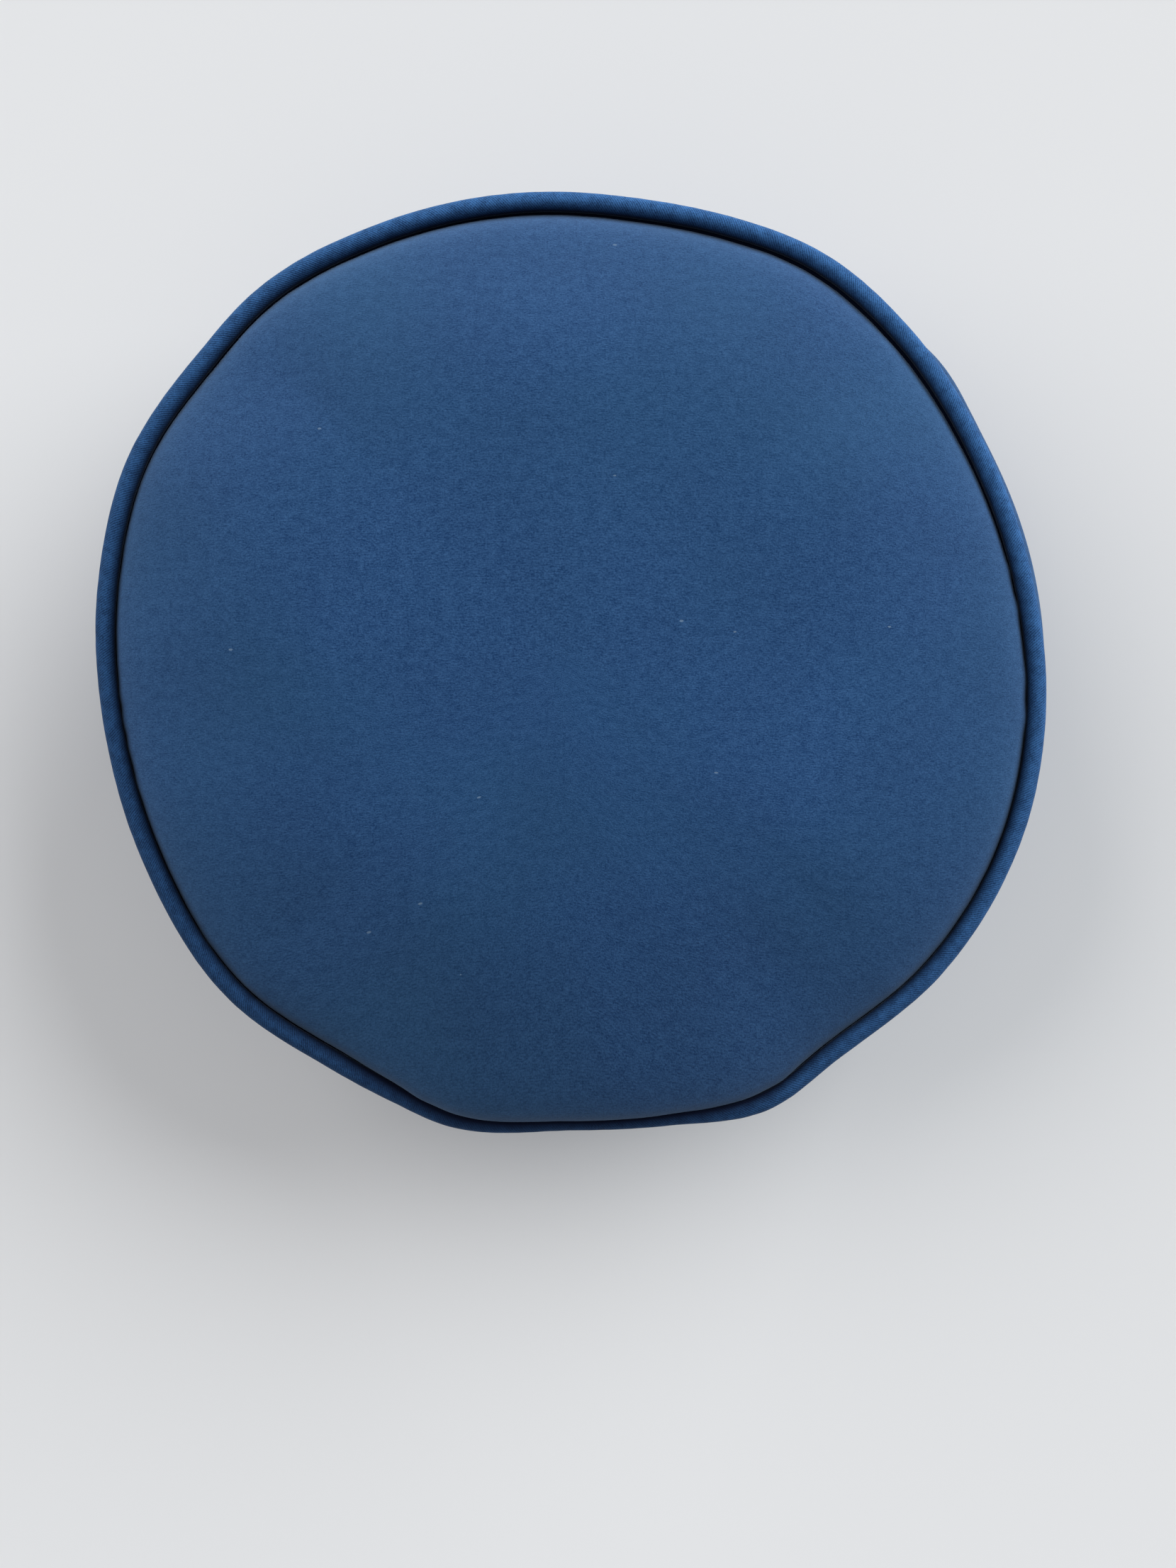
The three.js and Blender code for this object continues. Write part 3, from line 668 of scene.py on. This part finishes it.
def piping_material():
    """The velvet cut on the bias, stretched round a cord so that its diagonal ribs show. Its colour has
    painted shade, nearly black towards the seam on both sides of the strip's middle, and painted light and
    shade
    round the cushion: lightest at the angle set near the top and darkest opposite it."""
    s = Shader("piping_velvet", roughness=0.88, specular=0.1)
    grain = s.spread(s.noise(s.flat(), 1250, 3, 0.6), 0.3, 0.7)
    slant = s.node("Mapping", {"Vector": s.flat(), "Rotation": (0, 0, math.radians(38))})
    ribs = s.wave(slant.outputs[0], 320, "X", 1.6)
    patches = s.spread(s.noise(s.flat(), 190, 2, 0.55), 0.3, 0.7)
    tone = s.maths("MULTIPLY_ADD", grain, 0.42, s.maths("MULTIPLY", ribs, 0.32))
    tone = s.maths("MULTIPLY_ADD", patches, 0.26, tone)
    colour = s.mix(s.spread(tone, 0.26, 0.74), (0.0078, 0.031, 0.088), (0.0285, 0.096, 0.240))
    along, across, _ = s.parts(s.flat())
    # Painted light and shade round the ring: the colour is scaled from 0.5 to 1.56 times, lightest at 58
    # degrees from +X.
    turn = s.maths("MULTIPLY_ADD", along, 1 / RING, -PAINTED_LIGHT_ANGLE)
    painted_light = s.maths("MULTIPLY_ADD", s.maths("COSINE", turn), 0.5, 0.5)
    colour = s.mix(1.0, colour, s.mix(painted_light, (0.50, 0.52, 0.54), (1.56, 1.54, 1.52)), "MULTIPLY")
    # Painted shade: nearly black on both flanks of the strip, away from its middle, where they turn into
    # the seam.
    off = s.maths("ABSOLUTE", s.maths("SUBTRACT", across, STRIP_MIDDLE))
    painted_seam_shade = s.spread(off, 2.5 * MM, 8 * MM)
    colour = s.mix(s.maths("MULTIPLY", painted_seam_shade, 0.98), colour, (0.001, 0.003, 0.014))
    height = s.maths("MULTIPLY_ADD", ribs, 0.5, s.maths("MULTIPLY", grain, 0.5))
    s.sheen(0.12, 0.35, (0.5, 0.7, 1.0))
    return s.finish(colour, height, 0.3 * MM, 0.5)


def cord_material():
    """Unbleached cotton yarns, twisted into three strands."""
    s = Shader("cotton_cord", roughness=0.95, specular=0.2)
    yarns = s.wave(s.flat((1.0, 0.6)), 500, "DIAGONAL", 1.5)
    fuzz = s.noise(s.solid(), 900, 3)
    colour = s.mix(yarns, (0.62, 0.56, 0.44), (0.82, 0.77, 0.65))
    colour = s.mix(s.maths("MULTIPLY", fuzz, 0.4), colour, (0.9, 0.87, 0.78))
    return s.finish(colour, s.maths("ADD", yarns, fuzz), 0.3 * MM)


def tape_material():
    """Woven polyester tape with lengthwise ribs and a fine herringbone."""
    s = Shader("zip_tape", roughness=0.8, specular=0.25)
    ribs = s.wave(s.flat(), 420, "Y")
    weft = s.wave(s.flat(), 700, "X", 0.6)
    weave = s.maths("MULTIPLY", ribs, weft)
    colour = s.mix(weave, (0.007, 0.028, 0.085), (0.018, 0.058, 0.155))
    s.sheen(0.15, 0.4, (0.6, 0.7, 1.0))
    return s.finish(colour, weave, 0.2 * MM)


def coil_material():
    """Dyed nylon monofilament."""
    s = Shader("zip_coil", roughness=0.38, specular=0.5)
    tint = s.noise(s.solid(), 60, 2)
    colour = s.mix(tint, (0.009, 0.035, 0.105), (0.016, 0.055, 0.15))
    return s.finish(colour, s.noise(s.solid(), 1500, 1), 0.05 * MM, 0.2)


def metal_material():
    """Satin nickel plate, slightly rubbed in patches."""
    s = Shader("zip_metal", roughness=0.3, metallic=1.0, specular=0.5)
    wear = s.noise(s.solid(), 420, 4, 0.6)
    brush_marks_and_painted_shade = s.noise(s.solid((1, 1, 14)), 260, 2)
    colour = s.mix(s.spread(wear, 0.4, 0.7), (0.52, 0.53, 0.56), (0.68, 0.69, 0.71))
    s.feed(s.surface.inputs["Roughness"], s.maths("MULTIPLY_ADD", wear, 0.22, 0.2))
    return s.finish(colour, brush_marks_and_painted_shade, 0.03 * MM, 0.3)


def thread_material():
    s = Shader("navy_thread", roughness=0.6, specular=0.3)
    twist = s.wave(s.solid(), 900, "DIAGONAL")
    return s.finish(s.mix(twist, (0.010, 0.036, 0.11), (0.028, 0.08, 0.2)), twist, 0.1 * MM)


def casing_material():
    """Plain-woven cotton cambric, a little creased."""
    s = Shader("cotton_casing", roughness=0.92, specular=0.2)
    warp, weft = s.wave(s.flat(), 480, "X", 0.8), s.wave(s.flat(), 480, "Y", 0.8)
    weave = s.maths("MULTIPLY", warp, weft)
    creases = s.noise(s.flat(), 28, 4, 0.6)
    colour = s.mix(weave, (0.74, 0.71, 0.64), (0.88, 0.86, 0.80))
    colour = s.mix(s.maths("MULTIPLY", creases, 0.25), colour, (0.66, 0.63, 0.57))
    return s.finish(colour, s.maths("MULTIPLY_ADD", creases, 3.0, weave), 0.25 * MM)


def fibre_material():
    """Loose white polyester fibre, in soft tufts."""
    s = Shader("polyester_fibre", roughness=1.0, specular=0.1)
    tufts = s.noise(s.solid(), 45, 5, 0.65)
    strands = s.noise(s.solid((1, 1, 9)), 420, 4, 0.7)
    colour = s.mix(tufts, (0.74, 0.73, 0.70), (0.93, 0.93, 0.91))
    s.sheen(0.3, 0.6, (1, 1, 1))
    return s.finish(colour, s.maths("MULTIPLY_ADD", tufts, 2.0, strands), 2.5 * MM, 0.7)


# ---- the pieces


def sew_panel(name, node, sheet, side, material):
    """A round panel: the simulated sheet, its turned edge and its thickness."""
    points, rim = sheet["points"], sheet["rim"]
    theta = sheet["theta"][rim]
    rows = panel_seam_rows(side, theta)
    count, ring = len(points), len(rim)
    faces = [sheet["quads"]]
    index = [rim] + [count + i * ring + np.arange(ring) for i in range(len(rows))]
    for outer, inner in zip(index, index[1:]):
        quads = np.stack([outer, inner, np.roll(inner, -1), np.roll(outer, -1)], -1)
        faces.append(quads if side > 0 else quads[:, ::-1])
    everything = np.concatenate([points] + rows)
    edge = sheet["flat"][rim]
    out = edge / np.linalg.norm(edge, axis=1)[:, None]
    flat = np.concatenate([sheet["flat"]] + [edge + out * (i + 1) * 2.2 * MM for i in range(len(rows))])
    piece = make_mesh(name, everything, np.concatenate(faces), flat)
    thicken(piece, CLOTH)
    dress(piece, material, node)


def sew_band(name, node, grid, material):
    """A stretch of the band from its grid of points, with its ends tucked in."""
    grid = with_tucked_ends(grid)
    rows, columns = grid.shape[:2]
    along = np.concatenate([[0], np.cumsum(np.linalg.norm(np.diff(grid[rows // 2], axis=0), axis=1))])
    up = np.concatenate([[0], np.cumsum(np.linalg.norm(np.diff(grid[:, columns // 2], axis=0), axis=1))])
    flat = np.stack(np.meshgrid(along, up), -1)
    piece = make_mesh(name, grid, grid_quads(rows, columns), flat)
    thicken(piece, CLOTH)
    dress(piece, material, node)


def swept_ring(name, steps, section, material, node):
    """A closed ring of a closed section. section(theta) gives the section's (radius, height) rows and each
    row's place across the flat cloth."""
    theta = np.linspace(0, TURN, steps, endpoint=False)
    radius, height, across = section(theta)
    rows = len(radius)
    points = place(theta[None], radius, height)
    along = np.broadcast_to(theta * RING, (rows, steps))
    flat = np.stack([along, np.broadcast_to(across[:, None], (rows, steps))], -1)
    quads = grid_quads(rows, steps, wrap=True)
    closing = np.stack(
        [(rows - 1) * steps + np.arange(steps), (rows - 1) * steps + np.roll(np.arange(steps), -1),
         np.roll(np.arange(steps), -1), np.arange(steps)], -1,
    )
    piece = make_mesh(name, points, np.concatenate([quads, closing]), flat, lap=TURN * RING)
    facing_out(piece)
    return dress(piece, material, node)


def piping_cover(side, name, node, material):
    """The bias strip wrapped round its cord, with its two edges lying together in the seam. Its two layers
    cross where they leave the cord, out of sight between the folds of the panel and the band."""
    inside = CORD + 0.3 * MM
    flange_in = 0.15 * MM

    def section(theta):
        pinch = 1 + 0.012 * ripple(theta, 110, 5 + side) + 0.02 * ripple(theta, 24, 8 + side)
        rows = [(SEAM_END, -FLANGE), (FOLD_ALONG, -FLANGE)]
        for angle in np.linspace(MOUTH, TURN - MOUTH, 25):
            rows.append((PIPING * math.cos(angle), PIPING * math.sin(angle)))
        rows += [(FOLD_ALONG, FLANGE), (SEAM_END, FLANGE), (SEAM_END, flange_in)]
        opening = math.asin(flange_in / inside)
        for angle in np.linspace(TURN - opening, opening, 13):
            rows.append((inside * math.cos(angle), inside * math.sin(angle)))
        rows.append((SEAM_END, -flange_in))
        steps = [math.dist(a, b) for a, b in zip(rows, rows[1:])]
        across = np.concatenate([[0], np.cumsum(steps)])
        places = []
        for along, to_panel in rows:
            bulge = pinch if along < FOLD_ALONG else np.ones_like(theta)
            places.append(seam(side, theta, along * bulge, to_panel * bulge))
        return np.array([p[0] for p in places]), np.array([p[1] for p in places]), across

    piece = swept_ring(name, 720, section, material, node)
    return piece


def piping_cord(side, name, node, material):
    """Three twisted strands."""
    twists = 96

    def section(theta):
        radius, height = [], []
        for angle in np.linspace(0, TURN, 18, endpoint=False):
            lobe = CORD * (0.9 + 0.1 * np.cos(3 * (angle - twists / 3 * theta)))
            r, z = seam(side, theta, 0, 0)
            radius.append(r + lobe * np.cos(angle))
            height.append(z + lobe * np.sin(angle))
        return np.array(radius), np.array(height), np.linspace(0, TURN * CORD, 18)

    return swept_ring(name, 960, section, material, node)


def zip_tape(side, name, node, material):
    """A woven tape behind a hem, sewn along its outer part."""
    theta = ZIP_MIDDLE + np.linspace(-1, 1, 240) * TAPE_HALF
    offsets = TAPE_NEAR + np.array([0, 1, 2.9, 5.9, 9.4, 13.4]) * MM
    r = TAPE - TAPE_THICKNESS / 2
    grid = place(theta[None], r, (MIDDLE_Z + side * offsets)[:, None])
    flat = np.stack(np.meshgrid(theta * r, offsets), -1)
    quads = grid_quads(*grid.shape[:2])
    piece = make_mesh(name, grid, quads if side > 0 else quads[:, ::-1], flat)
    thicken(piece, TAPE_THICKNESS, levels=0)
    dress(piece, material, node)
    return piece


def zip_coil(side, name, node, material):
    """A row of the zip: one nylon filament wound into flattened loops that reach past the zip's middle."""
    filament = 0.33 * MM
    turns = int(2 * COIL_HALF * COIL / COIL_PITCH)
    around_loop, sides = 12, 6
    turn = np.arange(turns * around_loop + 1) / around_loop
    offset = 0.25 if side > 0 else 0.75
    theta = ZIP_MIDDLE - COIL_HALF + 2 * COIL_HALF * (turn + offset) / (turns + 1)
    a = turn * TURN
    inner, outer = -0.45 * MM, COIL_WIDTH - filament
    across = (inner + outer) / 2 - (outer - inner) / 2 * np.sign(np.cos(a)) * abs(np.cos(a)) ** 0.7
    depth = COIL - COIL_DEPTH / 2 + (COIL_DEPTH / 2 - filament) * np.sign(np.sin(a)) * abs(np.sin(a)) ** 0.7
    path = place(theta, depth, MIDDLE_Z + side * across)
    ahead = np.gradient(path, axis=0)
    ahead /= np.linalg.norm(ahead, axis=1)[:, None]
    centre = place(theta, COIL - COIL_DEPTH / 2, MIDDLE_Z + side * (inner + outer) / 2)
    first = path - centre
    first -= (first * ahead).sum(1)[:, None] * ahead
    first /= np.linalg.norm(first, axis=1)[:, None]
    second = np.cross(ahead, first)
    rings = [
        path + filament * (math.cos(b) * first + math.sin(b) * second)
        for b in np.linspace(0, TURN, sides, endpoint=False)
    ]
    points = np.stack(rings, 1)
    faces = grid_quads(len(path), sides, wrap=True).tolist()
    faces += [list(range(sides)), list(range(len(path) * sides - sides, len(path) * sides))]
    piece = make_mesh(name, points, faces)
    facing_out(piece)
    return dress(piece, material, node)


def hem_stitches(side, name, material):
    """A row of stitches through a hem, in navy thread, as short arched bars."""
    spacing, length, thread = 3.4 * MM, 2.6 * MM, 0.22 * MM
    face = BAND + CLOTH / 2
    height = MIDDLE_Z + side * (HEM_EDGE + HEM_STITCHES)
    count = int(2 * TAPE_HALF * face / spacing)
    steps, sides = 5, 6
    lift = np.array([-1.0, 0.25, 0.5, 0.25, -1.0]) * thread
    quads = grid_quads(steps, sides, wrap=True)
    bars, faces = [], []
    for i in range(count):
        middle = ZIP_MIDDLE + (i - (count - 1) / 2) * spacing / face
        theta = middle + np.linspace(-0.5, 0.5, steps) * length / face
        edges = [
            place(theta, face + lift + thread * math.cos(b), height + thread * math.sin(b))
            for b in np.linspace(0, TURN, sides, endpoint=False)
        ]
        bars.append(np.stack(edges, 1))
        start = i * steps * sides
        last = start + (steps - 1) * sides
        faces += (quads + start).tolist()
        faces += [list(range(start, start + sides)), list(range(last, last + sides))]
    piece = make_mesh(name, np.array(bars), faces)
    facing_out(piece)
    piece.data.materials.append(material)
    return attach(piece, "cushion")


def smoothed_copy(node, name, material, body, width):
    """A CAD piece with its edges rounded."""
    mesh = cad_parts[node].data.copy()
    piece = bpy.data.objects.new(name, mesh)
    bpy.context.scene.collection.objects.link(piece)
    edit = bmesh.new()
    edit.from_mesh(mesh)
    bmesh.ops.remove_doubles(edit, verts=edit.verts, dist=0.005 * MM)
    bmesh.ops.dissolve_limit(edit, angle_limit=math.radians(2), verts=edit.verts, edges=edit.edges)
    edit.to_mesh(mesh)
    edit.free()
    mesh.shade_smooth()
    edge = piece.modifiers.new("Edges", "BEVEL")
    edge.width, edge.segments = width, 2
    edge.limit_method, edge.angle_limit = "ANGLE", math.radians(35)
    edge.harden_normals = True
    return dress(piece, material, node, body)


def insert_profile(side, t, inset):
    """(radius, height) of the insert's front or back from its middle, at t = 0, to its corner, at t = 1."""
    rise = 20 * MM if side > 0 else -11 * MM
    r = bezier(0, 0.55 * INSERT_CORNER, INSERT_CORNER - 24 * MM, INSERT_CORNER - inset, t)
    z = bezier(INSERT_FACE[side], INSERT_FACE[side], INSERT_SEAM[side] + rise, INSERT_SEAM[side], t)
    return r, z - side * inset


def insert_disc(side, inset, count):
    """The insert's front or back, creased at its seam and lumpy: its points, quads, rim and angles."""
    radius, theta, quads, rim = disc_grid(count)
    t = even_steps(lambda x: insert_profile(side, x, inset), radius)
    points = place(theta, *insert_profile(side, t, inset))
    crease = smooth(0.55, 1, radius) * 0.7 * MM * ripple(theta, 70, 20 + side)
    points[:, 2] += side * (crease + 0.8 * MM * lumps(points, 60 * MM, 30 + side) - 0.8 * MM)
    points[:, 2] = np.maximum(points[:, 2], CLOTH + 0.5 * MM)
    return points, quads if side > 0 else quads[:, ::-1], rim, theta


def insert_wall(t):
    """(radius, height) of the insert's side from its back seam, at t = 0, to its front seam, at t = 1."""
    radius = bezier(INSERT_CORNER, INSERT_SIDE, INSERT_SIDE, INSERT_CORNER, t)
    return radius, INSERT_SEAM[-1] + (INSERT_SEAM[1] - INSERT_SEAM[-1]) * t


def insert_casing(material):
    """The cotton casing: two discs and a band between them."""
    for side, name in ((1, "front"), (-1, "back")):
        points, quads, _, _ = insert_disc(side, 0.0, 60)
        piece = make_mesh(f"insert_casing_disc_{name}", points, quads, points[:, :2].copy())
        thicken(piece, CASING)
        dress(piece, material, f"insert_casing_{name}")
    rows, columns = 16, 300
    angles = np.linspace(0, TURN, columns, endpoint=False)
    theta, t = np.meshgrid(angles, np.linspace(0, 1, rows))
    r, z = insert_wall(t)
    r = r + 0.5 * MM * ripple(theta, 80, 40) * (1 - (2 * t - 1) ** 2 * 0.5) - 0.5 * MM
    flat = np.stack(np.meshgrid(angles * INSERT_SIDE, np.linspace(0, 75 * MM, rows)), -1)
    quads = grid_quads(rows, columns, wrap=True)
    lap = TURN * INSERT_SIDE
    piece = make_mesh("insert_casing_wall", place(theta, r, z), quads, flat, lap)
    thicken(piece, CASING)
    dress(piece, material, "insert_casing_band")


def insert_fibre(material):
    """The loose fibre, as one closed lumpy body just inside the casing."""
    front, quads, rim, theta = insert_disc(1, 1.5 * MM, 48)
    back, back_quads, back_rim, _ = insert_disc(-1, 1.5 * MM, 48)
    rings = [rim]
    points = [front, back]
    start = len(front) + len(back)
    angles = theta[rim]
    for t in np.linspace(0.9, 0.1, 9):
        r, z = insert_wall(t)
        points.append(place(angles, r + 1.2 * MM * ripple(angles, 26, int(t * 50)) - 3 * MM, z))
        rings.append(start + np.arange(len(rim)))
        start += len(rim)
    rings.append(len(front) + back_rim)
    faces = [quads, back_quads + len(front)]
    for a, b in zip(rings, rings[1:]):
        faces.append(np.stack([a, b, np.roll(b, -1), np.roll(a, -1)], -1))
    piece = make_mesh("insert_fibre", np.concatenate(points), np.concatenate(faces))
    facing_out(piece)
    piece.modifiers.new("Smooth", "SUBSURF").levels = 1
    dress(piece, material, "insert_filling")


# ---- putting it together


def build_cover():
    zip_start, zip_end = ZIP_MIDDLE - ZIP_HALF, ZIP_MIDDLE + ZIP_HALF
    gap = BAND_JOIN / BAND
    hem_share = (HEM_EDGE + CLOTH / 2 + HEM_TURN) / BAND_HALF
    free = [
        panel_sheet(1, 84),
        panel_sheet(-1, 60),
        band_sheet(zip_end + gap, zip_start + TURN - gap, -1, 1, 240, 22),
        band_sheet(zip_start + gap, zip_end - gap, hem_share, 1, 170, 10),
        band_sheet(zip_start + gap, zip_end - gap, -1, -hem_share, 170, 10),
    ]
    for strip in free[3:]:
        heights = abs(strip["points"][:, 2] - MIDDLE_Z)
        strip["held"] = np.maximum(strip["held"], (heights < HEM_EDGE + HEM_DEPTH + 2 * MM) * 1.0)
    for sheet, points in zip(free, simulate(free)):
        sheet["points"] = points
    front, back, band, upper, lower = free
    inside = 1 - np.clip(np.hypot(*front["points"][:, :2].T) / RING, 0, 1) ** 4
    front["points"][:, 2] += 1.6 * MM * (lumps(front["points"], 95 * MM, 1) - 0.6) * inside
    back["points"][:, 2] = np.maximum(back["points"][:, 2], CLOTH / 2)

    for name, sheet, side in (("front", front, 1), ("back", back, -1)):
        velvet = velvet_material(f"velvet_{name}", PANEL_RADIUS[side])
        sew_panel(f"cover_{name}", f"{name}_panel", sheet, side, velvet)
    velvet = velvet_material("velvet_band")

    grid = band["points"].reshape(*band["shape"], 3)
    theta = band["theta"]
    grid = np.stack(band_seam_rows(-1, theta)[::-1] + list(grid) + band_seam_rows(1, theta))
    sew_band("cover_band", "side_band", grid, velvet)
    grid = list(upper["points"].reshape(*upper["shape"], 3))
    theta = upper["theta"]
    grid = np.stack(hem_rows(1, theta)[:0:-1] + grid + band_seam_rows(1, theta))
    sew_band("cover_zip_band_upper", "zip_strip_upper", grid, velvet)
    grid = list(lower["points"].reshape(*lower["shape"], 3))
    grid = np.stack(band_seam_rows(-1, theta)[::-1] + grid + hem_rows(-1, theta)[1:])
    sew_band("cover_zip_band_lower", "zip_strip_lower", grid, velvet)


def build_zip():
    tape, coil, metal, thread = tape_material(), coil_material(), metal_material(), thread_material()
    for side, name in ((1, "upper"), (-1, "lower")):
        zip_tape(side, f"tape_{name}", f"zip_tape_{name}", tape)
        zip_coil(side, f"coil_{name}", f"zip_coil_{name}", coil)
        hem_stitches(side, f"hem_stitches_{name}", thread)
        smoothed_copy(f"zip_top_stop_{name}", f"top_stop_{name}", metal, "cushion", 0.35 * MM)
    smoothed_copy("zip_bottom_stop", "bottom_stop", metal, "cushion", 0.4 * MM)
    smoothed_copy("zip_slider", "slider_body", metal, "slider", 0.22 * MM)
    smoothed_copy("zip_pull", "slider_pull", metal, "pull", 0.2 * MM)


def build_stage():
    """A plain pale floor, two broad soft suns from low beyond the +Y side, and the camera looking down."""
    rim = np.linspace(0, TURN, 64, endpoint=False)
    floor = make_mesh("floor", place(rim, 25.0, 0.0), [range(64)])
    s = Shader("floor", roughness=0.9, specular=0.1)
    floor.data.materials.append(s.finish((0.70, 0.70, 0.705, 1)))

    def lamp(name, towards, spread, strength, colour):
        """A broad soft light that shines from a direction."""
        light = bpy.data.lights.new(name, "SUN")
        light.energy, light.angle, light.color = strength, math.radians(spread), colour
        made = bpy.data.objects.new(name, light)
        made.rotation_euler = Vector(towards).to_track_quat("Z", "Y").to_euler()
        bpy.context.scene.collection.objects.link(made)

    lamp("key", (0.78, 0.62, 0.25), 60, 5.4, (0.96, 0.985, 1.0))
    lamp("fill", (-0.86, 0.51, 0.27), 70, 3.0, (1.0, 0.98, 0.96))
    world = bpy.data.worlds.new("studio")
    world.use_nodes = True
    world.node_tree.nodes["Background"].inputs["Color"].default_value = (0.93, 0.96, 1.0, 1)
    world.node_tree.nodes["Background"].inputs["Strength"].default_value = 0.4
    bpy.context.scene.world = world
    bpy.context.scene.view_settings.view_transform = "Standard"

    camera = bpy.data.cameras.new("camera")
    camera.sensor_fit, camera.sensor_width, camera.lens = "HORIZONTAL", 36, 36
    made = bpy.data.objects.new("camera", camera)
    made.location = (8.6 * MM, -57.5 * MM, CORD_Z[1] + 555 * MM)
    bpy.context.scene.collection.objects.link(made)
    bpy.context.scene.camera = made


build_cover()
bias = piping_material()
for side, name in ((1, "front"), (-1, "back")):
    piping_cover(side, f"piping_{name}", f"{name}_piping_cover", bias)
cotton = cord_material()
for side, name in ((1, "front"), (-1, "back")):
    piping_cord(side, f"cord_{name}", f"{name}_piping_cord", cotton)
build_zip()
insert_casing(casing_material())
insert_fibre(fibre_material())
build_stage()
